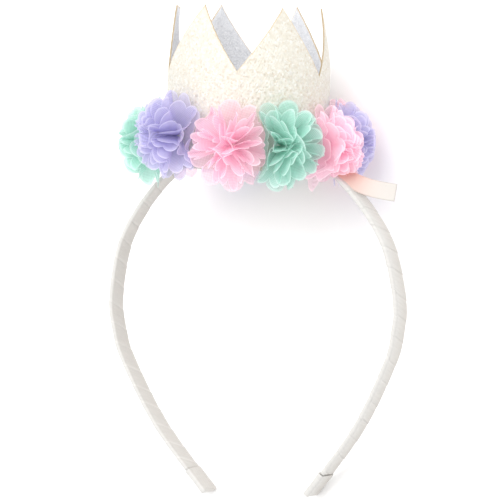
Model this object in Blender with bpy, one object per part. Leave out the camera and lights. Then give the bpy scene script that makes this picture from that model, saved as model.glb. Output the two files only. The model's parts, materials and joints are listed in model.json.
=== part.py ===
"""Mini crown headband, modelled lying on its back as it rests on a table.

Metres, +Z up, origin under the middle of the whole object, on the table.

Everything is first laid out as it is worn: X runs across the head, Y runs
back, Z runs up, and the tips of the band are at Z 0. One parent empty then
lays the whole thing on its back, front side up and crown towards +Y.

A ribbon-wrapped band carries a small glitter crown: a felt base bends over the
top of the band's arch, and a round felt wall with six points stands round it.
Ten chiffon flowers sit round the foot of the wall. Two folded ribbon ends
cover the tips of the band, and a plain satin label hangs under one flower.
"""

import math

import bmesh
import bpy
from mathutils import Matrix, Vector

MM = 0.001

# Clearance between pieces that touch on the real object
GAP = 0.3 * MM

# Band
BAND_SPAN = 130.0 * MM
BAND_HEIGHT = 139.6 * MM
BAND_WIDTH = 9.0 * MM
BAND_THICKNESS = 1.8 * MM
BAND_CHAMFER = 0.7 * MM
BAND_SEGMENTS = 51

# Half of the band's outer edge, from a tip to the top of the arch
# rise is a share of BAND_HEIGHT, reach a share of half BAND_SPAN
BAND_OUTLINE = [
    {"rise": 0.000, "reach": 0.362},
    {"rise": 0.187, "reach": 0.698},
    {"rise": 0.372, "reach": 0.923},
    {"rise": 0.460, "reach": 0.982},
    {"rise": 0.550, "reach": 1.000},
    {"rise": 0.693, "reach": 0.938},
    {"rise": 0.791, "reach": 0.822},
    {"rise": 0.876, "reach": 0.663},
    {"rise": 0.946, "reach": 0.468},
    {"rise": 0.988, "reach": 0.235},
    {"rise": 1.000, "reach": 0.000},
]

# Folded ribbon ends over the tips, each a pocket for a thin end of the band
SLEEVE_LENGTH = 11.0 * MM
SLEEVE_WIDTH = 9.8 * MM
SLEEVE_THICKNESS = 2.8 * MM
SLEEVE_END_WALL = 1.0 * MM
TONGUE_WIDTH = 7.0 * MM
TONGUE_THICKNESS = 0.8 * MM
TONGUE_CHAMFER = 0.2 * MM
POCKET_CLEARANCE = 0.3 * MM

# Crown wall
CROWN_RADIUS = 31.9 * MM
CROWN_WALL = 1.2 * MM
CROWN_FOOT = 129.0 * MM
CROWN_HEIGHT = 62.6 * MM
VALLEY_HEIGHT = 37.3 * MM
POINT_LEAN = 3.6 * MM
CROWN_LEAN_DEG = 3.0
CROWN_SHIFT = 2.8 * MM
CROWN_ROWS = 3
COLUMNS_PER_SLOPE = 3

# The six points, by angle round the crown in degrees: 0 is the front, and
# positive angles go round by +X; valley is the notch that follows the tip
# depth is a share of VALLEY_HEIGHT
CROWN_POINTS = [
    {"tip": -67.0, "valley": -50.0, "depth": 1.000},
    {"tip": -9.5, "valley": 20.0, "depth": 0.985},
    {"tip": 56.5, "valley": 89.0, "depth": 0.965},
    {"tip": 115.0, "valley": 140.0, "depth": 1.000},
    {"tip": 168.5, "valley": 200.0, "depth": 1.010},
    {"tip": 234.5, "valley": 263.0, "depth": 1.000},
]

# Felt base inside the foot of the crown
FELT_THICKNESS = 1.5 * MM
FELT_CLEARANCE = 0.5 * MM
FELT_LIFT = 0.4 * MM
FELT_COLUMNS = 10
FELT_ROWS = 3

# Chiffon flowers
FLOWER_RADIUS = 17.4 * MM
FLOWER_HEIGHT = 9.0 * MM
FLOWER_BEND_RADIUS = 39.0 * MM
FLOWER_SQUEEZE = 4
PETAL_THICKNESS = 1.1 * MM
PETAL_SEAT = 1.1 * MM
CORE_RADIUS = 9.2 * MM
CORE_HEIGHT = 9.0 * MM
CORE_SIDES = 8
CORE_SEAT = 0.5 * MM
# Rings of the dome, from its back to its top: shares of its radius and height
CORE_RINGS = ((0.35, 0.0), (0.7, 0.0), (1.0, 0.06), (0.84, 0.62), (0.42, 1.0))
BESIDE_BAND = 8.0 * MM
PRESSED_REACH = 43.5 * MM
PRESS_SOFTNESS = 3.0 * MM
PRESS_DEPTH = 1.4 * MM
# Flowers within this angle of the back meet the table
BEHIND_DEG = 80.0

# The ring of flowers: angle round the crown and turn about its own middle, in
# degrees, and the chiffon's colour
FLOWERS = [
    {"angle": 20.0, "turn": 8.0, "colour": "pink"},
    {"angle": 52.0, "turn": 31.0, "colour": "mint"},
    {"angle": 84.0, "turn": 16.0, "colour": "pink"},
    {"angle": 118.0, "turn": 44.0, "colour": "lilac"},
    {"angle": 150.0, "turn": 3.0, "colour": "pink"},
    {"angle": 186.0, "turn": 25.0, "colour": "mint"},
    {"angle": 222.0, "turn": 50.0, "colour": "lilac"},
    {"angle": 260.0, "turn": 12.0, "colour": "pink"},
    {"angle": 300.0, "turn": 38.0, "colour": "mint"},
    {"angle": 336.0, "turn": 20.0, "colour": "lilac"},
]

# Tiers of petals in a flower: reach and width are shares of FLOWER_RADIUS,
# rise is the petal's slope away from the wall in degrees, curl the share of
# its length by which its end turns out, fold the share of its half width by
# which its edges stand up from its middle
TIERS = [
    {"petals": 6, "first": 0.0, "reach": 1.00, "width": 0.60, "rise": 13.0, "curl": 0.05, "fold": 0.20},
    {"petals": 4, "first": 24.0, "reach": 1.03, "width": 0.56, "rise": 41.0, "curl": 0.03, "fold": 0.35},
    {"petals": 3, "first": 10.0, "reach": 1.06, "width": 0.42, "rise": 70.0, "curl": -0.04, "fold": 0.30},
]

# Rows of a petal: along is a share of its length, breadth of its half width
PETAL_ROWS = [
    {"along": 0.22, "breadth": 0.40},
    {"along": 0.56, "breadth": 0.90},
    {"along": 0.86, "breadth": 0.90},
    {"along": 1.00, "breadth": 0.42},
]

# Satin label: its root lies on the band's outer face, under the flower on the
# +X side, and it peels off the band and turns on edge towards its free end
LABEL_WIDTH = 7.0 * MM
LABEL_THICKNESS = 1.0 * MM
LABEL_LENGTH = 32.0 * MM
LABEL_ROOT = 33.6 * MM
# along is a share of LABEL_LENGTH and slope its fall there in degrees, swing
# its bend towards the back in degrees, turn the twist of its width from level
LABEL_LINE = [
    {"along": 0.00, "slope": 35.0, "swing": 0.0, "turn": 0.0},
    {"along": 0.12, "slope": 36.0, "swing": 0.0, "turn": 0.0},
    {"along": 0.24, "slope": 33.0, "swing": 0.0, "turn": 8.0},
    {"along": 0.38, "slope": 25.0, "swing": 2.0, "turn": 24.0},
    {"along": 0.54, "slope": 17.0, "swing": 6.0, "turn": 44.0},
    {"along": 0.70, "slope": 12.0, "swing": 11.0, "turn": 60.0},
    {"along": 0.86, "slope": 10.0, "swing": 15.0, "turn": 70.0},
    {"along": 1.00, "slope": 9.0, "swing": 17.0, "turn": 76.0},
]

COLOURS = {
    "satin": ((0.90, 0.89, 0.86), 0.32, 0.0),
    "glitter": ((0.90, 0.86, 0.76), 0.45, 0.1),
    "felt": ((0.88, 0.85, 0.78), 0.95, 0.0),
    "label": ((0.95, 0.94, 0.93), 0.35, 0.0),
    "pink": ((0.95, 0.62, 0.74), 0.75, 0.0),
    "mint": ((0.55, 0.86, 0.77), 0.75, 0.0),
    "lilac": ((0.66, 0.56, 0.88), 0.75, 0.0),
}


def clear_scene():
    """Remove every object of the scene that this script starts in."""
    for thing in list(bpy.data.objects):
        bpy.data.objects.remove(thing, do_unlink=True)


def material(name):
    """A Principled material from the colour table."""
    colour, roughness, metallic = COLOURS[name]
    made = bpy.data.materials.new(name)
    made.use_nodes = True
    shader = made.node_tree.nodes["Principled BSDF"]
    shader.inputs["Base Color"].default_value = (*colour, 1.0)
    shader.inputs["Roughness"].default_value = roughness
    shader.inputs["Metallic"].default_value = metallic
    return made


def add_object(name, points, faces, finish, parent=None, smooth=True):
    """Make a mesh object with outward faces from points and faces."""
    mesh = bpy.data.meshes.new(name)
    mesh.from_pydata([tuple(p) for p in points], [], faces)
    work = bmesh.new()
    work.from_mesh(mesh)
    bmesh.ops.recalc_face_normals(work, faces=work.faces)
    work.to_mesh(mesh)
    work.free()
    if smooth:
        mesh.shade_smooth()
        mesh.set_sharp_from_angle(angle=math.radians(40.0))
    made = bpy.data.objects.new(name, mesh)
    bpy.context.scene.collection.objects.link(made)
    mesh.materials.append(finish)
    made.parent = parent
    return made


def loft(rings):
    """Join equal closed rings into one capped skin: points and faces."""
    size = len(rings[0])
    points = [p for ring in rings for p in ring]
    faces = []
    for row in range(len(rings) - 1):
        for side in range(size):
            after = (side + 1) % size
            low = row * size
            high = low + size
            faces.append((low + side, low + after, high + after, high + side))
    last = (len(rings) - 1) * size
    faces.append(tuple(range(size)))
    faces.append(tuple(range(last, last + size)))
    return points, faces


def catmull(points, steps):
    """Points along a smooth curve through the given ones."""
    first = points[0] * 2 - points[1]
    last = points[-1] * 2 - points[-2]
    padded = [first] + points + [last]
    curve = []
    for index in range(1, len(padded) - 2):
        a, b, c, d = padded[index - 1:index + 3]
        for step in range(steps):
            t = step / steps
            curve.append(0.5 * (2 * b + (c - a) * t + (2 * a - 5 * b + 4 * c - d) * t ** 2
                                + (3 * b - a - 3 * c + d) * t ** 3))
    curve.append(points[-1])
    return curve


def measured(curve):
    """Distance along a polyline at each of its points."""
    run = [0.0]
    for before, after in zip(curve, curve[1:]):
        run.append(run[-1] + (after - before).length)
    return run


class BandLine:
    """The band's middle line from the -X tip over the arch to the +X tip."""

    def __init__(self):
        half = [Vector((row["reach"] * BAND_SPAN / 2, 0.0, row["rise"] * BAND_HEIGHT))
                for row in BAND_OUTLINE]
        mirrored = [Vector((-p.x, 0.0, p.z)) for p in half]
        self.outer = catmull(mirrored + half[-2::-1], 12)
        self.run = measured(self.outer)
        self.length = self.run[-1]

    def at(self, distance):
        """Outer point, direction along and outward normal at a distance."""
        distance = min(max(distance, 0.0), self.length)
        index = 0
        while index < len(self.run) - 2 and self.run[index + 1] < distance:
            index += 1
        before, after = self.outer[index], self.outer[index + 1]
        share = (distance - self.run[index]) / (self.run[index + 1] - self.run[index])
        along = (after - before).normalized()
        outward = Vector((-along.z, 0.0, along.x))
        return before.lerp(after, share), along, outward

    def height_over(self, x):
        """Height of the arch's outer face over a place across the head."""
        best = 0.0
        for before, after in zip(self.outer, self.outer[1:]):
            if before.x <= x <= after.x:
                share = (x - before.x) / (after.x - before.x)
                best = max(best, before.z + (after.z - before.z) * share)
        return best

    def slope_over(self, x):
        """Rise of the arch's outer face for each metre across the head."""
        step = BAND_THICKNESS
        return (self.height_over(x + step) - self.height_over(x - step)) / (2 * step)


def heading(fall_deg, swing_deg):
    """Direction that falls and swings towards the back by these angles."""
    fall = math.radians(fall_deg)
    swing = math.radians(swing_deg)
    return Vector((math.cos(fall) * math.cos(swing), math.cos(fall) * math.sin(swing),
                   -math.sin(fall)))


class LabelLine:
    """The label's sections along its length, from its root to its free end."""

    def __init__(self, line):
        slope = line.slope_over(LABEL_ROOT)
        lift = (GAP + LABEL_THICKNESS / 2) / math.hypot(1.0, slope)
        centre = Vector((LABEL_ROOT - slope * lift, 0.0, line.height_over(LABEL_ROOT) + lift))
        self.rings = []
        before = LABEL_LINE[0]
        for row in LABEL_LINE:
            run = (row["along"] - before["along"]) * LABEL_LENGTH
            centre = centre + heading((row["slope"] + before["slope"]) / 2,
                                      (row["swing"] + before["swing"]) / 2) * run
            self.rings.append(self.section(centre, row))
            before = row

    def section(self, centre, row):
        """Four corners of the label at one row of its table."""
        ahead = heading(row["slope"], row["swing"])
        swing = math.radians(row["swing"])
        level = Vector((-math.sin(swing), math.cos(swing), 0.0))
        turn = math.radians(row["turn"])
        wide = level * math.cos(turn) + ahead.cross(level) * math.sin(turn)
        half_w = wide * LABEL_WIDTH / 2
        half_t = ahead.cross(wide) * LABEL_THICKNESS / 2
        return [centre - half_w - half_t, centre + half_w - half_t,
                centre + half_w + half_t, centre - half_w + half_t]

    def top_over(self, x):
        """Height of the label's upper edge over a place across the head."""
        tops = [max(ring, key=lambda corner: corner.z) for ring in self.rings]
        if x <= tops[0].x:
            return tops[0].z
        for before, after in zip(tops, tops[1:]):
            if x <= after.x:
                share = (x - before.x) / (after.x - before.x)
                return before.z + (after.z - before.z) * share
        return tops[-1].z


def flat_section(line, distance, width, thickness, chamfer):
    """Eight-sided section of the band, centred in its thickness."""
    edge, along, outward = line.at(distance)
    centre = edge - outward * BAND_THICKNESS / 2
    across = Vector((0.0, 1.0, 0.0))
    half_w = width / 2
    half_t = thickness / 2
    corners = [
        (half_w, -half_t / 2), (half_w, half_t / 2),
        (half_w - chamfer, half_t), (chamfer - half_w, half_t),
        (-half_w, half_t / 2), (-half_w, -half_t / 2),
        (chamfer - half_w, -half_t), (half_w - chamfer, -half_t),
    ]
    return [centre + across * y + outward * t for y, t in corners]


def build_band(line, finish, parent):
    """The wrapped band, with a thin tongue at each end for the ribbon ends."""
    shoulder = SLEEVE_LENGTH + GAP
    tongue_end = SLEEVE_END_WALL + POCKET_CLEARANCE
    tongue = [flat_section(line, d, TONGUE_WIDTH, TONGUE_THICKNESS, TONGUE_CHAMFER)
              for d in (tongue_end, shoulder)]
    run = line.length - 2 * shoulder
    body = [flat_section(line, shoulder + run * i / BAND_SEGMENTS,
                         BAND_WIDTH, BAND_THICKNESS, BAND_CHAMFER)
            for i in range(BAND_SEGMENTS + 1)]
    far = [flat_section(line, line.length - d, TONGUE_WIDTH, TONGUE_THICKNESS, TONGUE_CHAMFER)
           for d in (shoulder, tongue_end)]
    points, faces = loft(tongue + body + far)
    return add_object("headband", points, faces, finish, parent)


def build_sleeve(name, line, from_end, finish, parent):
    """A folded ribbon end: a pocket that the band's tongue sits in."""
    def place(distance):
        return line.length - distance if from_end else distance

    outer = [flat_section(line, place(d), SLEEVE_WIDTH, SLEEVE_THICKNESS, BAND_CHAMFER)
             for d in (0.0, SLEEVE_LENGTH / 2, SLEEVE_LENGTH)]
    wide = TONGUE_WIDTH + 2 * POCKET_CLEARANCE
    thick = TONGUE_THICKNESS + 2 * POCKET_CLEARANCE
    inner = [flat_section(line, place(d), wide, thick, TONGUE_CHAMFER)
             for d in (SLEEVE_LENGTH, SLEEVE_END_WALL)]
    points, faces = loft(outer + inner)
    return add_object(name, points, faces, finish, parent)


def crown_matrix():
    """Where the crown's own frame sits as worn: Z 0 is the foot of its wall."""
    place = Matrix.Translation((-CROWN_SHIFT, 0.0, CROWN_FOOT))
    return place @ Matrix.Rotation(math.radians(CROWN_LEAN_DEG), 4, "Y")


def round_crown(angle_deg, radius, height):
    """A point of the crown's frame by angle round it, radius and height."""
    angle = math.radians(angle_deg)
    return Vector((radius * math.sin(angle), -radius * math.cos(angle), height))


def crown_edge():
    """Columns round the crown: angle and height of the zigzag upper edge."""
    marks = []
    for index, row in enumerate(CROWN_POINTS):
        marks.append((row["tip"], CROWN_HEIGHT))
        marks.append((row["valley"], VALLEY_HEIGHT * row["depth"]))
    first_angle, first_height = marks[0]
    marks.append((first_angle + 360.0, first_height))
    columns = []
    for (a0, z0), (a1, z1) in zip(marks, marks[1:]):
        for step in range(COLUMNS_PER_SLOPE):
            share = step / COLUMNS_PER_SLOPE
            columns.append((a0 + (a1 - a0) * share, z0 + (z1 - z0) * share))
    return columns


def wall_radius(height):
    """Outer radius of the wall: straight below, leaning in towards the tips."""
    share = max(0.0, (height - VALLEY_HEIGHT) / (CROWN_HEIGHT - VALLEY_HEIGHT))
    return CROWN_RADIUS - POINT_LEAN * share ** 2


def build_crown(line, finish, parent, worn):
    """The crown's wall: one felt strip bent round, notched over the band."""
    columns = crown_edge()
    rings = []
    for inset in (0.0, CROWN_WALL):
        for row in range(CROWN_ROWS + 1):
            ring = []
            for angle, top in columns:
                height = top * row / CROWN_ROWS
                ring.append(round_crown(angle, wall_radius(height) - inset, height))
            rings.append(ring)
    outer = rings[:CROWN_ROWS + 1]
    inner = rings[CROWN_ROWS + 1:]
    stacked = outer + inner[::-1]
    size = len(columns)
    points = [p for ring in stacked for p in ring]
    faces = []
    for row in range(len(stacked)):
        low = row * size
        high = (row + 1) % len(stacked) * size
        for side in range(size):
            after = (side + 1) % size
            faces.append((low + side, low + after, high + after, high + side))
    crown = add_object("crown", points, faces, finish, parent)
    cut_with(crown, build_notcher(line, worn), "DIFFERENCE")
    return crown


def build_notcher(line, parent):
    """Cutter for the wall's foot: the arch with its clearance, and below it."""
    across = BAND_WIDTH / 2 + GAP
    reach = CROWN_RADIUS + CROWN_SHIFT + BAND_WIDTH
    steps = 24
    rings = []
    for step in range(steps + 1):
        x = -reach + 2 * reach * step / steps
        slope = line.slope_over(x)
        top = line.height_over(x) + GAP * math.hypot(1.0, slope)
        low = CROWN_FOOT - BAND_HEIGHT / 4
        rings.append([Vector((x, -across, low)), Vector((x, across, low)),
                      Vector((x, across, top)), Vector((x, -across, top))])
    points, faces = loft(rings)
    return cutter(add_object("band_notch", points, faces, FINISHES["felt"], parent, smooth=False))


def cutter(made):
    """Mark an object as a cutter that isn't part of the headband."""
    made.hide_render = True
    made.display_type = "WIRE"
    return made


def cut_with(target, tool, operation, self_crossing=False):
    """Add a Boolean modifier."""
    step = target.modifiers.new(operation.lower(), "BOOLEAN")
    step.operation = operation
    step.object = tool
    step.solver = "EXACT"
    step.use_self = self_crossing
    return step


def build_felt(line, finish, parent):
    """The base: a round of felt bent over the arch, just inside the wall."""
    radius = CROWN_RADIUS - CROWN_WALL - FELT_CLEARANCE
    to_worn = crown_matrix()
    lean = math.radians(CROWN_LEAN_DEG)

    def seated(x, y, lift):
        height = 0.0
        for _ in range(6):
            spot = to_worn @ Vector((x, y, height))
            slope = line.slope_over(spot.x)
            wanted = line.height_over(spot.x) + lift * math.hypot(1.0, slope)
            height += (wanted - spot.z) / math.cos(lean)
        return Vector((x, y, height))

    layers = []
    for lift in (FELT_LIFT, FELT_LIFT + FELT_THICKNESS):
        layer = []
        for i in range(FELT_COLUMNS + 1):
            x = -radius * math.cos(math.radians(12.0 + 156.0 * i / FELT_COLUMNS))
            half = math.sqrt(radius ** 2 - x ** 2)
            layer.append([seated(x, half * (2 * j / FELT_ROWS - 1), lift)
                          for j in range(FELT_ROWS + 1)])
        layers.append(layer)
    rings = []
    for i in range(FELT_COLUMNS + 1):
        rings.append(layers[0][i] + layers[1][i][::-1])
    points, faces = loft(rings)
    return add_object("felt_base", points, faces, finish, parent)


def squeeze(value, limit):
    """Bring a value smoothly inside a limit, small values nearly unchanged."""
    return value / (1.0 + abs(value / limit) ** FLOWER_SQUEEZE) ** (1.0 / FLOWER_SQUEEZE)


def pressed(distance, softness):
    """Bring a distance smoothly above zero."""
    return 0.5 * (distance + math.hypot(distance, softness))


class FlowerPlace:
    """One flower's place on the wall, and what it is squeezed against."""

    def __init__(self, index, line, label, table):
        count = len(FLOWERS)
        row = FLOWERS[index]
        self.angle = row["angle"]
        before = FLOWERS[index - 1]["angle"]
        after = FLOWERS[(index + 1) % count]["angle"]
        self.left = ((self.angle - before) % 360.0) / 2
        self.right = ((after - self.angle) % 360.0) / 2
        self.turn = row["turn"]
        self.line = line
        self.label = label
        self.table = table
        self.to_worn = crown_matrix()
        self.to_crown = self.to_worn.inverted()
        crossing = math.copysign(90.0, math.sin(math.radians(self.angle)))
        self.on_band = abs((self.angle - crossing + 180.0) % 360.0 - 180.0) < self.left

    def wrapped(self, u, v, h, margin):
        """Point as worn for one u across, v up and h off the round wall."""
        radius = CROWN_RADIUS + h
        turned = math.degrees(u / FLOWER_BEND_RADIUS)
        side = self.right if turned > 0 else self.left
        limit = side - math.degrees(margin / radius)
        spot = round_crown(self.angle + squeeze(turned, limit), radius, FLOWER_HEIGHT + v)
        return self.to_worn @ spot

    def settle(self, u, v, h, margin, beside=False):
        """Crown-frame point, clear of the neighbours, the band and the table."""
        worn = self.wrapped(u, v, h, margin)
        if self.on_band and beside:
            worn.y = self.off_band_edge(worn.y, margin)
        elif self.on_band:
            worn = self.over_band(worn, margin)
        return self.to_crown @ self.over_table(worn)

    def hangs_beside(self, u, v, h):
        """Whether a petal with this tip hangs beside the band, not over it."""
        tip = self.wrapped(u, v, h, GAP)
        return abs(tip.y) > BESIDE_BAND and tip.z < self.line.height_over(tip.x)

    def off_band_edge(self, y, margin):
        """Bring a point off the band's edge, on the side that it is on."""
        over = abs(y) - BAND_WIDTH / 2 - margin
        if y * math.cos(math.radians(self.angle)) > 0 and abs(y) < BAND_WIDTH:
            over = -abs(y) - BAND_WIDTH / 2 - margin
            y = -y
        return math.copysign(BAND_WIDTH / 2 + margin + pressed(over, PRESS_SOFTNESS), y)

    def over_band(self, worn, margin):
        """Lift what would cut into the band, or the label on it, above them."""
        slope = self.line.slope_over(worn.x)
        steep = math.hypot(1.0, slope)
        height = self.line.height_over(worn.x)
        if worn.x > 0.0:
            height = max(height + LABEL_THICKNESS, self.label.top_over(worn.x)) + GAP
        over = (worn.z - height) / steep - margin
        lift = pressed(over, PRESS_SOFTNESS) - over
        return worn + Vector((-slope / steep, 0.0, 1.0 / steep)) * lift

    def over_table(self, worn):
        """Flatten what would reach below the table."""
        up, level = self.table
        over = worn.dot(up) - level + PRESS_DEPTH
        return worn + up * (pressed(over, PRESS_SOFTNESS) - over)


def petal(place, tier, turn_deg):
    """One cupped petal of even thickness, settled in its place."""
    length = tier["reach"] * FLOWER_RADIUS
    half = tier["width"] * FLOWER_RADIUS / 2
    turn = math.radians(turn_deg)
    rise = math.radians(tier["rise"])
    out = Vector((math.cos(turn), math.sin(turn), 0.0))
    side = Vector((-math.sin(turn), math.cos(turn), 0.0))
    off = Vector((0.0, 0.0, 1.0))
    along = out * math.cos(rise) + off * math.sin(rise)
    face = off * math.cos(rise) - out * math.sin(rise)
    base = off * PETAL_SEAT
    tip = base + along * length
    beside = place.on_band and place.hangs_beside(*tip)
    margin = GAP + PETAL_THICKNESS
    sheet = []
    for row in PETAL_ROWS:
        run = row["along"]
        middle = base + along * length * run + face * length * tier["curl"] * run ** 2
        reach = half * row["breadth"]
        raised = face * tier["fold"] * reach
        sheet.append([place.settle(*p, margin, beside)
                      for p in (middle - side * reach + raised, middle, middle + side * reach + raised)])
    return loft(thicken(sheet, PETAL_THICKNESS))


def thicken(sheet, thickness):
    """Closed rings round the rows of an open sheet of points."""
    rings = []
    last = len(sheet) - 1
    for i, row in enumerate(sheet):
        ahead = [b - a for a, b in zip(sheet[max(i - 1, 0)], sheet[min(i + 1, last)])]
        lower, upper = [], []
        for j, point in enumerate(row):
            across = row[min(j + 1, len(row) - 1)] - row[max(j - 1, 0)]
            push = ahead[j].cross(across).normalized() * thickness / 2
            lower.append(point - push)
            upper.append(point + push)
        rings.append(lower + upper[::-1])
    return rings


def core(place):
    """The sewn middle of a flower: a low dome on the wall."""
    rings = []
    for share_r, share_h in CORE_RINGS:
        ring = []
        for side in range(CORE_SIDES):
            turn = 2 * math.pi * side / CORE_SIDES
            reach = CORE_RADIUS * share_r
            ring.append(place.settle(reach * math.cos(turn), reach * math.sin(turn),
                                     CORE_SEAT + CORE_HEIGHT * share_h, CORE_SEAT))
        rings.append(ring)
    return loft(rings)


def merged(parts):
    """Points and faces of several skins, one after the other."""
    points, faces = [], []
    for some_points, some_faces in parts:
        start = len(points)
        points.extend(some_points)
        faces.extend(tuple(start + i for i in face) for face in some_faces)
    return points, faces


def build_flower(index, place, table_block, finish, parent):
    """A flower: a dome with three tiers of petals, fused into one body."""
    row = FLOWERS[index]
    name = f"flower_{index + 1:02d}_{row['colour']}"
    flower = add_object(name, *core(place), finish, parent)
    petals = []
    for tier in TIERS:
        for number in range(tier["petals"]):
            turn = place.turn + tier["first"] + 360.0 * number / tier["petals"]
            petals.append(petal(place, tier, turn))
    tool = cutter(add_object(name + "_petals", *merged(petals), finish, parent))
    cut_with(flower, tool, "UNION", self_crossing=True)
    if table_block is not None:
        cut_with(flower, table_block, "DIFFERENCE")
    return flower


def build_label(label, finish, parent):
    """A plain satin label, flat on the band at its root, on edge at its end."""
    points, faces = loft(label.rings)
    return add_object("label", points, faces, finish, parent)


def table_plane(sleeves):
    """The table as worn: its upward direction and its level along it."""
    tilt = math.atan2(PRESSED_REACH - SLEEVE_WIDTH / 2, CROWN_FOOT + FLOWER_HEIGHT)
    up = Vector((0.0, -math.cos(tilt), math.sin(tilt)))
    level = min(v.co.dot(up) for sleeve in sleeves for v in sleeve.data.vertices)
    return tilt, up, level


def build_table_block(up, level, parent):
    """Cutter: everything below the table, near the back flowers."""
    reach = CROWN_RADIUS + FLOWER_RADIUS * 2
    slide = Vector((0.0, up.z, -up.y))
    middle = Vector((0.0, PRESSED_REACH, CROWN_FOOT + FLOWER_HEIGHT))
    middle -= up * (middle.dot(up) - level)
    across = Vector((reach, 0.0, 0.0))
    rings = []
    for depth in (0.0, FLOWER_RADIUS):
        centre = middle - up * depth
        rings.append([centre - across - slide * reach, centre + across - slide * reach,
                      centre + across + slide * reach, centre - across + slide * reach])
    points, faces = loft(rings)
    return cutter(add_object("table_cut", points, faces, FINISHES["felt"], parent, smooth=False))


def lay_down(worn, tilt, pieces):
    """Turn the worn headband onto its back and centre it over the origin."""
    worn.rotation_euler = (tilt - math.pi / 2, 0.0, 0.0)
    bpy.context.view_layer.update()
    graph = bpy.context.evaluated_depsgraph_get()
    low = Vector((math.inf,) * 3)
    high = -low
    for piece in pieces:
        shape = piece.evaluated_get(graph)
        for vertex in shape.data.vertices:
            spot = shape.matrix_world @ vertex.co
            low = Vector(map(min, low, spot))
            high = Vector(map(max, high, spot))
    worn.location = (-(low.x + high.x) / 2, -(low.y + high.y) / 2, -low.z)


def build():
    """Model the whole headband."""
    worn = bpy.data.objects.new("as_worn", None)
    crown_axis = bpy.data.objects.new("crown_axis", None)
    for empty in (worn, crown_axis):
        bpy.context.scene.collection.objects.link(empty)
    crown_axis.parent = worn
    crown_axis.matrix_local = crown_matrix()

    line = BandLine()
    pieces = [build_band(line, FINISHES["satin"], worn)]
    sleeves = [build_sleeve("ribbon_end_left", line, True, FINISHES["satin"], worn),
               build_sleeve("ribbon_end_right", line, False, FINISHES["satin"], worn)]
    pieces += sleeves
    pieces.append(build_crown(line, FINISHES["glitter"], crown_axis, worn))
    pieces.append(build_felt(line, FINISHES["felt"], crown_axis))
    tilt, up, level = table_plane(sleeves)
    table_block = build_table_block(up, level, worn)
    label = LabelLine(line)
    for index, row in enumerate(FLOWERS):
        place = FlowerPlace(index, line, label, (up, level))
        behind = math.cos(math.radians(row["angle"])) < -math.cos(math.radians(BEHIND_DEG))
        pieces.append(build_flower(index, place, table_block if behind else None,
                                   FINISHES[row["colour"]], crown_axis))
    pieces.append(build_label(label, FINISHES["label"], worn))
    lay_down(worn, tilt, pieces)


clear_scene()
FINISHES = {name: material(name) for name in COLOURS}
build()
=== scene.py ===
"""Looks of the mini crown headband, lying on its back on a pale table.

Everything is worked out as it is worn (X across the head, Y back, Z up, the
tips of the band at Z 0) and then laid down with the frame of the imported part.
"""

import json
import math

import bmesh
import bpy
import numpy as np
from mathutils import Matrix, Vector


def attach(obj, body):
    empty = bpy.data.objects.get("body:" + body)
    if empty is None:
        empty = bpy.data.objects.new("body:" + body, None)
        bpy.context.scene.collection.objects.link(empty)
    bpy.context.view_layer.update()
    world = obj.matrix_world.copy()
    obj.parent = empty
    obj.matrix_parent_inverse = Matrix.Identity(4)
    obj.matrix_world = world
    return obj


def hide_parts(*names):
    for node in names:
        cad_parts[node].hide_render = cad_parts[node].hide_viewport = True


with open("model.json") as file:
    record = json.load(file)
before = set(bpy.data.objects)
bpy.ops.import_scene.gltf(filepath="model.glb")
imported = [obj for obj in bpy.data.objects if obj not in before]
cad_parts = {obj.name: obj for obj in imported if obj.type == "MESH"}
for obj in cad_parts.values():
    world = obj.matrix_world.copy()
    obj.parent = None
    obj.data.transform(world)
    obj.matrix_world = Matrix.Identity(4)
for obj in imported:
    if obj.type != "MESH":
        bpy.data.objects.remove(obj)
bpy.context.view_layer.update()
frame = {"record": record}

UP = np.array((0.0, 0.0, 1.0))      # the third axis of any of the frames
MM = 0.001
GAP = 0.3 * MM
MERGE_DISTANCE = 1e-6

# Band
BAND_SPAN = 130.0 * MM
BAND_HEIGHT = 139.6 * MM
BAND_WIDTH = 9.0 * MM
BAND_THICKNESS = 1.8 * MM
BAND_ROUNDING = 0.8 * MM
INNER_TOP = 137.729 * MM
BAND_LINE_STEPS = 12
ARCH_SHARE = 0.55             # of the band's height, where the arch starts
# Half of the band's outer edge: shares of its height and of half its span
BAND_OUTLINE = ((0.000, 0.362), (0.187, 0.698), (0.372, 0.923), (0.460, 0.982),
                (0.550, 1.000), (0.693, 0.938), (0.791, 0.822), (0.876, 0.663),
                (0.946, 0.468), (0.988, 0.235), (1.000, 0.000))
SLEEVE_LENGTH = 11.0 * MM
SLEEVE_WIDTH = 9.8 * MM
SLEEVE_THICKNESS = 2.8 * MM
TONGUE_WIDTH = 7.0 * MM
TONGUE_THICKNESS = 0.8 * MM
TONGUE_END = 1.3 * MM
SHOULDER_RUN = 0.12 * MM      # over which the band narrows to its tongue

# Ribbon wound round the band
RIBBON_PITCH = 8.9 * MM
RIBBON_UNEVEN = 0.09          # share of the pitch that one turn may be off
RIBBON_COVER = 0.98           # share of the pitch that one turn's rows cover
RIBBON_STEP = 0.18 * MM
# The edge of each wrap is a painted highlight, which this share spreads over
RIBBON_EDGE = 0.08            # share of the pitch that the shade of an edge takes
RIBBON_ROWS = 16
BAND_COLUMNS = 44
GATHER_PITCH = 1.25 * MM
GATHER_HEIGHT = 0.035 * MM
GATHER_REACH = 0.30           # share of the pitch, back from the ribbon's edge

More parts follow.
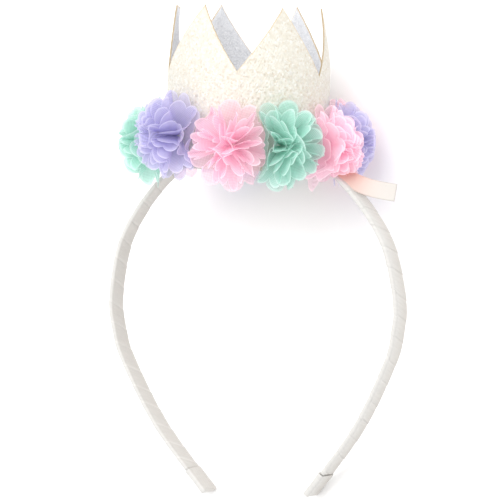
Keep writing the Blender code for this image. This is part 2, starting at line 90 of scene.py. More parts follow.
# Ribbon ends: from the pocket's inner mouth over its outside to the tip, the
# distance from the tip and the puff above the plain pocket in millimetres
POCKET_PROFILE = ((SLEEVE_LENGTH, -0.45), (SLEEVE_LENGTH + 0.22 * MM, 0.0),
                  (SLEEVE_LENGTH * 0.97, 0.08), (SLEEVE_LENGTH * 0.7, 0.02),
                  (SLEEVE_LENGTH * 0.4, -0.04), (SLEEVE_LENGTH * 0.15, 0.0),
                  (0.5 * MM, -0.02), (0.15 * MM, -0.22), (0.0, -0.5))
SLEEVE_ROWS = 40
SLEEVE_INSET = 0.3 * MM
WOBBLE_HEIGHT = 0.05 * MM
WOBBLE_LEAST = 0.6            # share of that height in the flattest row
WOBBLE_ACROSS = 1.6 * MM
WOBBLE_ALONG = 2.2 * MM

# Crown
CROWN_RADIUS = 31.9 * MM
CROWN_WALL = 1.2 * MM
CROWN_FOOT = 129.0 * MM
CROWN_HEIGHT = 62.6 * MM
VALLEY_HEIGHT = 37.3 * MM
POINT_LEAN = 3.9 * MM
# The point that leans in least: the middle of its place round the crown, and
# how far that reaches, in degrees
UPRIGHT_POINT = -67.0
UPRIGHT_SPREAD = 32.0
UPRIGHT_SHARE = 0.36          # of the lean that it loses
LEAN_POWER = 1.45             # how the lean grows with height
UPRIGHT_POWER = 0.45          # how much less of that in the upright point
CROWN_LEAN_DEG = 3.0
CROWN_SHIFT = 2.8 * MM
# Each tip's angle and share of the crown's height, then the angle of the notch
# after it and that notch's share of the usual notch's height
CROWN_POINTS = ((-67.0, 1.000, -50.0, 1.000), (-9.5, 1.014, 21.4, 1.028),
                (56.5, 1.006, 89.0, 0.980), (115.0, 1.000, 140.0, 1.000),
                (168.5, 1.000, 200.0, 1.010), (234.5, 1.000, 263.0, 1.000))
COLUMNS_PER_SLOPE = 24
CROWN_ROWS = 58
CROWN_OVER_BAND = 0.3 * MM
GRAIN = 0.07 * MM
LINING_GRAIN = 0.4            # share of the outer grain
CUT_ROUGHNESS = 0.10 * MM
CUT_THINNING = 0.5            # share of the wall that is lost at its upper edge
CUT_THINNING_RUN = 2.6 * MM
CUT_GOLD = 0.50               # how golden the glitter is at the edge
CUT_GOLD_RUN = 0.42 * MM

# Felt base
FELT_THICKNESS = 1.5 * MM
FELT_CLEARANCE = 0.5 * MM
FELT_LIFT = 0.4 * MM
FELT_RINGS = 14
FELT_COLUMNS = 72
FELT_MATTING = 0.03 * MM
FELT_ROUNDS = 6               # of finding the arch's height under each point

# Flowers
FLOWER_HEIGHT = 9.8 * MM
DISC_RADIUS = 18.0 * MM
LOBE_RADIUS = 4.4 * MM
LOBES = 10
# Angle round the crown and turn about its own middle, in degrees, colour, which
# wedges have two wide pockets or three narrow ones, rise above the others, and
# the border with the next flower: how far it laps over that one, how much more
# at the top and at the bottom, in millimetres, and the phase of its wave
FLOWERS = ((20.0, 8.0, "pink", "WNWNW", 0.0, 2.2, 0.0, 0.0, 1.8),
           (52.0, 31.0, "mint", "WWNWW", 0.3, 5.2, 2.0, -10.5, 1.7),
           (88.0, 16.0, "pink", "WWNWW", -1.3, 1.2, -3.5, -3.5, 0.6),
           (121.0, 62.0, "lilac", "WWNWN", 0.5, -0.5, -1.0, 0.0, 0.6),
           (151.0, 3.0, "pink", "WNWNW", 1.6, 0.5, 0.0, 0.0, 2.9),
           (186.0, 25.0, "mint", "WWNWN", 0.0, -0.5, 0.0, 0.0, 5.1),
           (222.0, 50.0, "lilac", "WNWNN", 0.0, 0.5, 0.0, 0.0, 1.1),
           (260.0, 12.0, "pink", "NWNWW", 0.0, 0.0, 0.0, 0.0, 3.3),
           (300.0, 38.0, "mint", "WWWWW", -1.2, -0.6, -3.0, 2.0, -1.3),
           (336.0, 56.0, "lilac", "WNWWW", 2.6, -1.4, 7.0, 0.0, -0.6))
# The border between two flowers: the height and two lengths of its wave, how
# that wave shifts with depth, and the depth at which it is whole
BORDER_WAVE = 2.6 * MM
BORDER_LONG = 4.2 * MM
BORDER_SHORT = 2.3 * MM
BORDER_SHORT_SHARE = 0.6
BORDER_PEAK = 1.3
BORDER_SHIFT = 5.0 * MM
BORDER_DEPTH = 7.0 * MM
# How far petals keep from the middle of a border, the wall, the table and the
# band, how softly they are pressed there, and how far round the band that goes
NEIGHBOUR_GAP = 0.4 * MM
WALL_GAP = 0.5 * MM
WALL_SOFTNESS = 0.4 * MM
WALL_SHARE = 0.9
TABLE_GAP = 0.1 * MM
TABLE_SOFTNESS = 1.4 * MM
BAND_GAP = 0.35 * MM
BAND_SOFTNESS = 2.0 * MM
BAND_REACH = 3.0 * MM
BAND_FADE = 2.5 * MM
# Height from a flower's middle where a border's top and bottom laps start, and
# the run over which they come in
TOP_START = 8.0 * MM
TOP_SPREAD = 4.0 * MM

# Label
LABEL_WIDTH = 7.0 * MM
LABEL_THICKNESS = 0.5 * MM
LABEL_SOLID = 1.0 * MM
LABEL_LENGTH = 31.0 * MM
LABEL_ROOT = 33.6 * MM
LABEL_STEPS = 60
LABEL_COLUMNS = 15
LABEL_BOW = 0.25 * MM
LABEL_EDGE = 0.4              # share of the thickness that is left at its edges
LABEL_SQUARE = 12             # how late and sharply it thins towards them
# Its painted pink light from the chiffon fades evenly over one share of its
# length, and with the rest of its strength around the root over another; a
# little is lost at the front edge
PAINTED_LIGHT_EVEN = 0.62
PAINTED_LIGHT_EVEN_RUN = 0.80
PAINTED_LIGHT_ROOT_RUN = 0.48
PAINTED_LIGHT_FRONT_LOSS = 0.2
# Share of the length, then the fall, the swing towards the back and the turn
# about its own line at that place, in degrees
LABEL_LINE = ((0.00, 35.0, 0.0, 0.0), (0.12, 36.5, 0.0, 6.0), (0.24, 36.0, 0.0, 22.0),
              (0.38, 32.0, 2.0, 45.0), (0.54, 22.0, 6.0, 62.0), (0.70, 14.0, 11.0, 70.0),
              (0.86, 10.0, 15.0, 74.0), (1.00, 9.0, 17.0, 76.0))


# Frames

def matrix(rotation, place):
    """4x4 matrix from three axes as columns and a place."""
    made = np.eye(4)
    made[:3, :3] = np.array(rotation).T
    made[:3, 3] = place
    return made


def moved(points, frame_matrix):
    """Points taken through a 4x4 matrix."""
    return points @ frame_matrix[:3, :3].T + frame_matrix[:3, 3]


MOUNT = next(m for m in frame["record"]["mounts"] if m["name"] == "band_inner_top")
WORN_UP = -np.array(MOUNT["axis"])
WORN_ACROSS = np.array((1.0, 0.0, 0.0))
WORN_BACK = np.cross(WORN_UP, WORN_ACROSS)
WORN = matrix((WORN_ACROSS, WORN_BACK, WORN_UP),
              np.array(MOUNT["pos_m"]) - WORN_UP * INNER_TOP)
LEAN = math.radians(CROWN_LEAN_DEG)
CROWN = matrix(((math.cos(LEAN), 0.0, -math.sin(LEAN)), (0.0, 1.0, 0.0),
                (math.sin(LEAN), 0.0, math.cos(LEAN))), (-CROWN_SHIFT, 0.0, CROWN_FOOT))
TABLE_UP = WORN[2, :3]
TABLE_LEVEL = -WORN[2, 3]


# Small tools

def catmull(points, steps):
    """Points along a smooth curve through the given ones."""
    padded = np.vstack((2 * points[0] - points[1], points, 2 * points[-1] - points[-2]))
    t = (np.arange(steps) / steps)[:, None]
    pieces = []
    for a, b, c, d in zip(padded, padded[1:], padded[2:], padded[3:]):
        pieces.append(0.5 * (2 * b + (c - a) * t + (2 * a - 5 * b + 4 * c - d) * t ** 2
                             + (3 * b - a - 3 * c + d) * t ** 3))
    return np.vstack(pieces + [points[-1:]])


def run_of(points):
    """Length along a line at each of its points."""
    steps = np.linalg.norm(np.diff(points, axis=0), axis=1)
    return np.concatenate(([0.0], np.cumsum(steps)))


def smooth_noise(rng, count, waves):
    """A closed smooth random line of count values, about -1 to 1."""
    t = np.arange(count) * 2 * np.pi / count
    line = sum(rng.normal() * np.cos(k * t) + rng.normal() * np.sin(k * t)
               for k in range(1, waves + 1))
    return line / max(np.abs(line).max(), 1e-9)


def side_by_side(*parts):
    """Arrays brought to one shape and put side by side along a last axis."""
    return np.stack(np.broadcast_arrays(*parts), axis=-1)


def direction(azimuth, elevation):
    """Unit vectors from an azimuth and an elevation, in radians."""
    return side_by_side(np.cos(azimuth) * np.cos(elevation), np.sin(azimuth) * np.cos(elevation),
                        np.sin(elevation))


def unit(vectors):
    """The same directions with length 1."""
    return vectors / np.linalg.norm(vectors, axis=-1, keepdims=True)


def pressed(distance, softness):
    """Bring a distance smoothly above zero."""
    return 0.5 * (distance + np.hypot(distance, softness))


def placed(name, data):
    """An object of the scene that holds some data."""
    made = bpy.data.objects.new(name, data)
    bpy.context.scene.collection.objects.link(made)
    return made


def make_mesh(name, points, faces, slot, *finishes, smooth=True):
    """A mesh object from world points, faces and materials, riding on the root."""
    mesh = bpy.data.meshes.new(name)
    mesh.from_pydata(points.tolist(), [], faces.tolist())
    mesh.update()
    made = placed(name, mesh)
    for finish in finishes:
        mesh.materials.append(finish)
    if smooth:
        mesh.shade_smooth()
    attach(made, "root")
    return made


def add_attribute(made, name, values, kind="FLOAT", field="value"):
    """Give each point of a mesh a number, or a vector."""
    layer = made.data.attributes.new(name, kind, "POINT")
    layer.data.foreach_set(field, np.asarray(values, dtype=np.float32).ravel())


def add_cloth(made, along, across):
    """Give each point of a mesh its place on the flat cloth."""
    add_attribute(made, "cloth", side_by_side(along, across, 0.0), "FLOAT_VECTOR", "vector")


def grid_faces(rows, columns):
    """Four-sided faces between rings of points."""
    i = np.arange(rows - 1)[:, None] * columns
    j = np.arange(columns)
    after = (j + 1) % columns
    return side_by_side(i + j, i + after, i + columns + after, i + columns + j).reshape(-1, 4)


def close(made, join=True):
    """Turn a mesh's faces outward, and first join what meets and fill its ends."""
    work = bmesh.new()
    work.from_mesh(made.data)
    if join:
        bmesh.ops.remove_doubles(work, verts=work.verts, dist=MERGE_DISTANCE)
        bmesh.ops.dissolve_degenerate(work, edges=work.edges, dist=MERGE_DISTANCE)
        loose = [v for v in work.verts if not v.link_faces]
        bmesh.ops.delete(work, geom=loose, context="VERTS")
        ends = [e for e in work.edges if len(e.link_faces) == 1]
        bmesh.ops.holes_fill(work, edges=ends, sides=0)
    bmesh.ops.recalc_face_normals(work, faces=work.faces)
    work.to_mesh(made.data)
    work.free()
    if join:
        made.data.shade_smooth()


# Materials

class Nodes:
    """Builds a material's node tree in few words."""

    def __init__(self, name):
        self.material = bpy.data.materials.new(name)
        self.material.use_nodes = True
        self.tree = self.material.node_tree
        self.tree.nodes.clear()
        self.output = self.add("ShaderNodeOutputMaterial")

    def add(self, kind, inputs=None, **settings):
        """A node with its inputs, by number or by name with _ for each space."""
        node = self.tree.nodes.new(kind)
        for key, value in settings.items():
            setattr(node, key, value)
        for key, value in (inputs or {}).items():
            key = key.replace("_", " ") if isinstance(key, str) else key
            self.join(value, node.inputs[key])
        return node

    def join(self, value, socket):
        if isinstance(value, bpy.types.NodeSocket):
            self.tree.links.new(value, socket)
        elif isinstance(value, (tuple, list)) and len(value) == 3 and socket.type == "RGBA":
            socket.default_value = (*value, 1.0)
        else:
            socket.default_value = value

    def maths(self, operation, *values):
        node = self.add("ShaderNodeMath", dict(enumerate(values)), operation=operation)
        return node.outputs[0]

    def times(self, first, second):
        return self.maths("MULTIPLY", first, second)

    def vector(self, operation, *values):
        node = self.add("ShaderNodeVectorMath", dict(enumerate(values)), operation=operation)
        return node.outputs[0]

    def mix(self, factor, first, second):
        node = self.add("ShaderNodeMix", data_type="RGBA")
        self.join(factor, node.inputs[0])
        self.join(first, node.inputs[6])
        self.join(second, node.inputs[7])
        return node.outputs[2]

    def ramp(self, factor, *stops):
        node = self.add("ShaderNodeValToRGB", {"Fac": factor})
        ramp = node.color_ramp
        while len(ramp.elements) < len(stops):
            ramp.elements.new(0.5)
        for element, (place, colour) in zip(ramp.elements, stops):
            element.position = place
            element.color = (*colour, 1.0)
        return node.outputs["Color"]

    def object_points(self):
        return self.add("ShaderNodeTexCoord").outputs["Object"]

    def attribute(self, name, output="Fac"):
        return self.add("ShaderNodeAttribute", attribute_name=name).outputs[output]

    def noise(self, scale, detail=2.0, vector=None):
        return self.add("ShaderNodeTexNoise", {"Vector": vector or self.object_points(),
                                               "Scale": scale, "Detail": detail}).outputs[0]

    def threads(self, vector, scale, distortion, way, **detail):
        """Thin bands across one direction of the flat cloth."""
        inputs = {"Vector": vector, "Scale": scale, "Distortion": distortion, **detail}
        return self.add("ShaderNodeTexWave", inputs, wave_type="BANDS",
                        bands_direction=way).outputs["Fac"]

    def bump(self, height, strength, distance, **under):
        return self.add("ShaderNodeBump", {"Height": height, "Strength": strength,
                                           "Distance": distance, **under}).outputs["Normal"]

    def principled(self, **inputs):
        return self.add("ShaderNodeBsdfPrincipled", inputs).outputs[0]

    def finish(self, shader):
        self.tree.links.new(shader, self.output.inputs["Surface"])
        return self.material


WHITE = (1.0, 1.0, 1.0)
BLACK = (0.0, 0.0, 0.0)
# Painted pink light on the label's root from the chiffon above it, the crown's
# glitter beside its cut edge, and a painted highlight along the edge of each
# wrap of ribbon
PAINTED_CHIFFON_LIGHT = (0.80, 0.36, 0.26)
GOLD_EDGE = (0.62, 0.40, 0.13)
PAINTED_WRAP_HIGHLIGHT = (0.82, 0.80, 0.77)
DUST_FINER = 2.3


def scaled(colour, share):
    """A colour times one number."""
    return tuple(channel * share for channel in colour)


def satin(name, colour, painted_shade_colour, wrinkle):
    """Satin ribbon: fine threads, a soft sheen and small gathers.

    The second colour is painted shade that it turns to away from the light. It
    also has painted shade in the hollows of its gathers, a painted highlight
    along the edge of each wrap and, on the label, painted pink light from the
    chiffon; wrinkle is how much of the gathers it has.
    """
    n = Nodes(name)
    flat = n.attribute("cloth", "Vector")
    threads = n.threads(flat, 900.0, 0.6, "X", Detail=1.0, Detail_Scale=2.0)
    stretched = n.add("ShaderNodeMapping", {"Vector": flat, "Scale": (1.0, 0.16, 1.0)})
    gathers = n.noise(820.0, 2.0, stretched.outputs[0])
    blotches = n.times(n.noise(120.0, 2.0), 0.12)
    # Painted shade in the hollows of the gathers, darker where their bump is low
    gather_hollow_shade = n.times(n.ramp(gathers, (0.35, WHITE), (0.65, BLACK)), 0.14 * wrinkle)
    # Painted highlight along the raised edge of each wrap
    edges = n.times(n.attribute("edge"), 0.24)
    # Painted shade: darker as the ribbon turns away from its lit front edge
    shade = n.mix(n.attribute("far"), colour, painted_shade_colour)
    # The label's tint is painted pink light from the chiffon over its root
    for share, other in ((blotches, painted_shade_colour), (gather_hollow_shade, scaled(colour, 0.62)),
                         (edges, PAINTED_WRAP_HIGHLIGHT), (n.attribute("painted_chiffon_light"), PAINTED_CHIFFON_LIGHT)):
        shade = n.mix(share, shade, other)
    folds = n.bump(n.times(gathers, wrinkle), 0.5, 0.6 * MM)
    return n.finish(n.principled(
        Base_Color=shade, Roughness=0.42, Normal=n.bump(threads, 0.12, 0.1 * MM, Normal=folds),
        Sheen_Weight=0.25, Sheen_Roughness=0.35, Anisotropic=0.3))


def glitter(name, stops, scale, sparkle, rough, metal):
    """Glitter: small flakes, each with its own colour and tilt.

    stops are the flakes' colours by share, the first two of them also the
    colours of the ground; scale is how small the flakes are, the dust between
    them being finer, and sparkle how far they tilt.
    """
    n = Nodes(name)
    flakes, dust = (n.add("ShaderNodeTexVoronoi", {"Vector": n.object_points(), "Scale": size,
                                                   "Randomness": 1.0}).outputs["Color"]
                    for size in (scale, scale * DUST_FINER))
    pick = n.add("ShaderNodeSeparateColor", {"Color": flakes}).outputs[0]
    colour = n.ramp(pick, *stops)
    colour = n.mix(n.times(n.noise(90.0, 3.0), 0.25), colour, stops[0][1])
    patches = n.ramp(n.noise(620.0, 2.0), (0.42, BLACK), (0.62, WHITE))
    colour = n.mix(n.times(patches, 0.5), colour, stops[1][1])
    colour = n.mix(n.attribute("edge"), colour, GOLD_EDGE)
    tilts = [n.vector("SUBTRACT", one, (0.5, 0.5, 0.5)) for one in (flakes, dust)]
    tilt = n.add("ShaderNodeVectorMath", {0: n.vector("ADD", *tilts), "Scale": sparkle},
                 operation="SCALE").outputs[0]
    surface = n.add("ShaderNodeNewGeometry").outputs["Normal"]
    normal = n.vector("NORMALIZE", n.vector("ADD", surface, tilt))
    return n.finish(n.principled(Base_Color=colour, Roughness=rough, Normal=normal,
                                 Metallic=metal))


def felt(name, colour):
    """Plain felt: matted short fibres."""
    n = Nodes(name)
    fibres = n.noise(1500.0, 4.0)
    clumps = n.noise(300.0, 3.0)
    shade = n.ramp(clumps, (0.3, scaled(colour, 0.9)), (0.7, colour))
    normal = n.bump(n.maths("ADD", fibres, clumps), 0.5, 0.4 * MM)
    return n.finish(n.principled(Base_Color=shade, Roughness=0.95, Normal=normal,
                                 Sheen_Weight=0.3))


def chiffon(name, colour, rim_colour, painted_glow):
    """Sheer chiffon: light passes through it, and its heat-cut rim is paler.

    The last argument is painted light: the strength of an emission that stands
    in for light that has been through many layers, which keeps creases from
    going grey.
    """
    n = Nodes(name)
    flat = n.attribute("cloth", "Vector")
    weave = n.times(n.maths("ADD", *(n.threads(flat, 520.0, 0.5, way)
                                                 for way in "XY")), 0.5)
    rim = n.attribute("rim")
    light = tuple(min(1.0, channel) for channel in scaled(colour, 1.12))
    shade = n.mix(weave, scaled(colour, 0.90), light)
    shade = n.mix(n.times(rim, 0.55), shade, rim_colour)
    normal = n.bump(weave, 0.15, 0.2 * MM)
    # Painted light: the emission makes the cloth glow as though lit from within
    cloth = n.principled(Base_Color=shade, Roughness=0.85, Normal=normal, Sheen_Weight=0.25,
                         Emission_Color=tuple(channel ** 3 for channel in colour),
                         Emission_Strength=painted_glow)
    deep = n.add("ShaderNodeGamma", {"Color": shade, "Gamma": 1.4}).outputs[0]
    through = n.add("ShaderNodeBsdfTranslucent", {"Color": deep, "Normal": normal}).outputs[0]
    body = n.add("ShaderNodeMixShader", {0: 0.50, 1: cloth, 2: through}).outputs[0]
    clear = n.add("ShaderNodeBsdfTransparent").outputs[0]
    holes = n.maths("SUBTRACT", n.maths("ADD", n.attribute("thin"), 0.06),
                    n.times(weave, 0.12))
    closed_rim = n.maths("SUBTRACT", 1.0, n.times(rim, 0.8))
    open_share = n.times(closed_rim, holes)
    return n.finish(n.add("ShaderNodeMixShader",
                          {0: open_share, 1: body, 2: clear}).outputs[0])


# The pink's last number is the strength of its painted glow, light given off though it is no
# lamp
CHIFFON = {
    "pink": chiffon("chiffon_pink", (1.0, 0.725, 0.812), (1.0, 0.95, 0.97), 0.14),
    "mint": chiffon("chiffon_mint", (0.59, 0.835, 0.765), (0.92, 0.98, 0.96), 0.0),
    "lilac": chiffon("chiffon_lilac", (0.68, 0.655, 0.86), (0.94, 0.92, 1.0), 0.0),
}
# The band ribbon's second colour is painted shade, away from its lit front edge
SATIN = satin("satin_ribbon", (0.615, 0.605, 0.585), (0.50, 0.47, 0.43), 1.0)
LABEL_SATIN = satin("label_satin", (0.575, 0.545, 0.51), (0.54, 0.51, 0.47), 0.15)
GLITTER = glitter("glitter_ivory", ((0.0, (0.665, 0.65, 0.59)), (0.35, (0.63, 0.595, 0.51)),
                                    (0.7, (0.74, 0.735, 0.70)), (0.96, (0.59, 0.52, 0.42))),
                  scale=1350.0, sparkle=0.42, rough=0.45, metal=0.0)
LINING = glitter("glitter_silver", ((0.0, (0.63, 0.64, 0.675)), (0.6, (0.70, 0.71, 0.74)),
                                    (0.9, (0.80, 0.80, 0.82))),
                 scale=2600.0, sparkle=0.40, rough=0.55, metal=0.1)
CUT_EDGE = felt("cut_edge", (0.45, 0.35, 0.22))
FELT = felt("base_felt", (0.88, 0.85, 0.78))


# Band

class BandLine:
    """The band's outer line from the -X tip over the arch to the +X tip."""

    def __init__(self):
        half = np.array([(reach * BAND_SPAN / 2, rise * BAND_HEIGHT)
                         for rise, reach in BAND_OUTLINE])
        mirrored = half * (-1.0, 1.0)
        self.points = catmull(np.vstack((mirrored, half[-2::-1])), BAND_LINE_STEPS)
        self.run = run_of(self.points)
        self.length = self.run[-1]
        self.arch = self.points[self.points[:, 1] > BAND_HEIGHT * ARCH_SHARE]

    def at(self, distance):
        """Outer points and outward normals at distances, as X and Z."""
        def spots(run):
            return side_by_side(*(np.interp(run, self.run, axis) for axis in self.points.T))

        step = 1.5 * MM
        ahead = unit(spots(distance + step) - spots(distance - step))
        return spots(distance), side_by_side(-ahead[..., 1], ahead[..., 0])

    def swept(self, distance, section, normals, width, thick, lift):
        """World points of a section that is scaled and lifted at distances."""
        across = section[:, 0] * width + normals[:, 0] * lift
        depth = section[:, 1] * thick + normals[:, 1] * lift - BAND_THICKNESS / 2
        spots, out = self.at(distance)
        points = side_by_side(spots[..., 0] + out[..., 0] * depth, across,
                              spots[..., 1] + out[..., 1] * depth)
        return moved(points.reshape(-1, 3), WORN)

    def height_over(self, x):
        """Height of the arch's outer face over places across the head."""
        return np.interp(x, self.arch[:, 0], self.arch[:, 1])

    def slope_over(self, x):
        """Rise of the arch's outer face for each metre across the head."""
        step = BAND_THICKNESS
        return (self.height_over(x + step) - self.height_over(x - step)) / (2 * step)


LINE = BandLine()


def rounded_section(count):
    """Points and normals round the band's section, by share of its girth, and
    the girth. They are (across, out) from the section's middle, in metres.

    Starts at the outer face's front edge, goes back over the outer face and
    returns on the inner face.
    """
    half_w = BAND_WIDTH / 2 - BAND_ROUNDING
    half_t = BAND_THICKNESS / 2 - BAND_ROUNDING
    quarter = math.pi / 2 * BAND_ROUNDING
    sides = (2 * half_w, quarter, 2 * half_t, quarter) * 2
    girth = sum(sides)
    corners = ((half_w, half_t), (half_w, -half_t), (-half_w, -half_t), (-half_w, half_t))
    points, normals = [], []
    for share in np.arange(count) / count:
        left = share * girth
        side = 0
        while left > sides[side]:
            left -= sides[side]
            side += 1
        angle = math.pi / 2 - math.pi / 2 * (side // 2)
        before, corner = (np.array(corners[(side // 2 + k) % 4]) for k in (3, 0))
        if side % 2 == 1:
            angle -= left / BAND_ROUNDING
            centre = corner
        else:
            centre = before + (corner - before) * (left / sides[side])
        normals.append((math.cos(angle), math.sin(angle)))
        points.append(centre + np.array(normals[-1]) * BAND_ROUNDING)
    return np.array(points), np.array(normals), girth


def painted_shade_share(section, normals):
    """How much painted shade the ribbon has as it turns away from the band's
    bright front edge, 0 to 1: up to 1 at the back of the outer face, and 0.55
    to 0.9 on the inner one."""
    back = section[:, 0] / BAND_WIDTH + 0.5
    inner = np.where(normals[:, 1] < -0.5, 0.55 + 0.35 * back, section[:, 0] > 0)
    return np.where(normals[:, 1] > 0.5, back ** 0.8, inner)


def build_band():
    """The band with its ribbon wound round in steps that overlap."""
    rng = np.random.default_rng(11)
    section, normals, girth = rounded_section(BAND_COLUMNS)
    shoulder = SLEEVE_LENGTH + GAP
    turns = int(LINE.length / RIBBON_PITCH) + 3
    rows = turns * RIBBON_ROWS
    row = np.arange(rows)[:, None]
    share = np.arange(BAND_COLUMNS) / BAND_COLUMNS
    within = (row % RIBBON_ROWS) / (RIBBON_ROWS - 1.0)
    uneven = np.interp(np.arange(rows) / RIBBON_ROWS, np.arange(turns + 1),
                       rng.uniform(-RIBBON_UNEVEN, RIBBON_UNEVEN, turns + 1))[:, None]
    turn = row // RIBBON_ROWS + within * RIBBON_COVER + uneven
    distance = RIBBON_PITCH * (turn - 1.0 + share)
    distance = np.clip(distance, TONGUE_END, LINE.length - TONGUE_END)
    from_end = np.minimum(distance, LINE.length - distance)
    inside = np.clip((shoulder - from_end) / SHOULDER_RUN, 0.0, 1.0)
    width = 1.0 + (TONGUE_WIDTH / BAND_WIDTH - 1.0) * inside
    thick = 1.0 + (TONGUE_THICKNESS / BAND_THICKNESS - 1.0) * inside
    # Each turn rises steeply from the one before it and then more gently
    lift = RIBBON_STEP * (0.85 * within ** 0.6 - 0.35) * (1.0 - inside)
    gather = np.sin(share * girth / GATHER_PITCH * 2 * np.pi
                    + 3.0 * np.sin(turn * 2.1) + turn * 5.0)
    near_edge = np.exp(-((1.0 - within) / GATHER_REACH) ** 2)
    lift = lift + GATHER_HEIGHT * gather * near_edge * (1.0 - inside)
    points = LINE.swept(distance, section, normals, width, thick, lift)
    # Past its last column a row goes on in the row that is one turn further
    index = np.arange(rows * BAND_COLUMNS).reshape(rows, BAND_COLUMNS)
    beyond = np.concatenate((index, np.roll(index[:, :1], -RIBBON_ROWS, axis=0)), axis=1)
    faces = side_by_side(beyond[:-1, :-1], beyond[:-1, 1:], beyond[1:, 1:], beyond[1:, :-1])
    faces = faces[:rows - 1 - RIBBON_ROWS].reshape(-1, 4)
    made = make_mesh("band_ribbon", points, faces, "satin_ribbon", SATIN)
    # Masks of painted light: a highlight along each wrap's edge, and shade away from the front
    # edge
    for name, values in (("edge", np.exp(-(within / RIBBON_EDGE) ** 2)),
                         ("far", painted_shade_share(section, normals))):
        add_attribute(made, name, np.broadcast_to(values, distance.shape))
    add_cloth(made, within * RIBBON_PITCH, share * girth + girth * turn)
    close(made)
    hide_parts("headband")


def build_sleeve(name, node, at_end):
    """A folded ribbon pocket over the band's tip, at the line's end or start."""
    rng = np.random.default_rng(5 if at_end else 6)
    section, normals, girth = rounded_section(BAND_COLUMNS)
    rows = np.linspace(0, len(POCKET_PROFILE) - 1, SLEEVE_ROWS)[:, None]
    run, puff = (np.interp(rows, np.arange(len(POCKET_PROFILE)), values)
                 for values in zip(*POCKET_PROFILE))
    share = np.arange(BAND_COLUMNS) / BAND_COLUMNS
    wobble = np.sin(share * girth / WOBBLE_ACROSS * 2 * np.pi + run / WOBBLE_ALONG)
    lift = puff * MM + WOBBLE_HEIGHT * wobble * rng.uniform(WOBBLE_LEAST, 1.0, rows.shape)
    points = LINE.swept(LINE.length - run if at_end else run, section, normals,
                        (SLEEVE_WIDTH - SLEEVE_INSET) / BAND_WIDTH,
                        (SLEEVE_THICKNESS - SLEEVE_INSET) / BAND_THICKNESS, lift)
    made = make_mesh(name, points, grid_faces(SLEEVE_ROWS, BAND_COLUMNS), "satin_ribbon", SATIN)
    # Painted shade away from the front edge, as on the band
    add_attribute(made, "far", np.tile(painted_shade_share(section, normals), SLEEVE_ROWS))
    add_cloth(made, run, share * girth)
    close(made)
    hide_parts(node)


# Crown

def round_crown(angle_deg, radius, height):
    """Points of the crown's frame by angle round it, radius and height."""
    angle = np.radians(angle_deg)
    return side_by_side(radius * np.sin(angle), -radius * np.cos(angle), height)


def crown_columns():
    """Angle and top height of each column of the wall."""
    angles, tops = [], []
    for tip, tall, valley, depth in CROWN_POINTS:
        angles += [tip, valley]
        tops += [CROWN_HEIGHT * tall, VALLEY_HEIGHT * depth]
    angles.append(angles[0] + 360.0)
    tops.append(tops[0])
    share = np.arange((len(angles) - 1) * COLUMNS_PER_SLOPE) / COLUMNS_PER_SLOPE
    return [np.interp(share, np.arange(len(values)), values) for values in (angles, tops)]


def wall_radius(height, angles):
    """Outer radius of the wall: straight below, leaning in towards the tips."""
    share = np.clip((height - VALLEY_HEIGHT) / (CROWN_HEIGHT - VALLEY_HEIGHT), 0.0, None)
    upright = np.exp(-((angles - UPRIGHT_POINT) / UPRIGHT_SPREAD) ** 2)
    lean = POINT_LEAN * (1.0 - UPRIGHT_SHARE * upright)
    return CROWN_RADIUS - lean * share ** (LEAN_POWER - UPRIGHT_POWER * upright)


def crown_foot(angles):
    """Height of the wall's lower edge: the foot, or just over the band."""
    spots = moved(round_crown(angles, CROWN_RADIUS - CROWN_WALL / 2, 0.0), CROWN)
    over = LINE.height_over(spots[:, 0]) - CROWN_FOOT
    slope = np.abs(LINE.slope_over(spots[:, 0]))
    notch = over + (GAP + CROWN_WALL / 2 * slope) * np.sqrt(1 + slope ** 2) + CROWN_OVER_BAND
    lean = -spots[:, 0] * math.sin(LEAN)
    near = np.abs(spots[:, 1]) < BAND_WIDTH / 2 + GAP
    return np.where(near, np.maximum(notch - lean, 0.0), 0.0)


def build_crown():
    """The glitter wall with its six points, grainy outside, silvery inside."""
    rng = np.random.default_rng(3)
    angles, tops = crown_columns()
    tops = tops - np.abs(rng.normal(0.0, CUT_ROUGHNESS, tops.shape))
    feet = crown_foot(angles)
    share = np.linspace(0.0, 1.0, CROWN_ROWS + 1)[:, None]
    height = feet + (tops - feet) * share
    left = tops - height
    radial = round_crown(angles, 1.0, 0.0)
    skins = []
    # The outer skin's grain goes into the wall, and so does the inner one's
    for inset, grain, way in ((0.0, GRAIN, -1.0), (CROWN_WALL, GRAIN * LINING_GRAIN, 1.0)):
        thinned = inset * (1.0 - CUT_THINNING * np.exp(-left / CUT_THINNING_RUN))
        skin = round_crown(angles, wall_radius(height, angles) - thinned, height)
        away = way * np.abs(rng.normal(0.0, grain, height.shape))
        skins.append((skin + radial * away[..., None]).reshape(-1, 3))
    columns = len(angles)
    points = np.vstack(skins)
    top = CROWN_ROWS * columns
    size = top + columns
    out_faces = grid_faces(CROWN_ROWS + 1, columns)
    in_faces = out_faces[:, ::-1] + size
    j = np.arange(columns)
    after = (j + 1) % columns
    cap = side_by_side(top + j, top + after, size + top + after, size + top + j)
    base = side_by_side(after, j, size + j, size + after)
    faces = np.vstack((out_faces, in_faces, cap, base))
    made = make_mesh("crown_wall", moved(moved(points, CROWN), WORN), faces, "glitter_felt",
                     GLITTER, LINING, CUT_EDGE, smooth=False)
    made.data.polygons.foreach_set("material_index", np.repeat(
        np.arange(3, dtype=np.int32), (len(out_faces), len(in_faces), len(cap) + len(base))))
    add_attribute(made, "edge", np.tile(CUT_GOLD * np.exp(-(left / CUT_GOLD_RUN) ** 2), (2, 1)))
    close(made, join=False)
    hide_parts("crown")


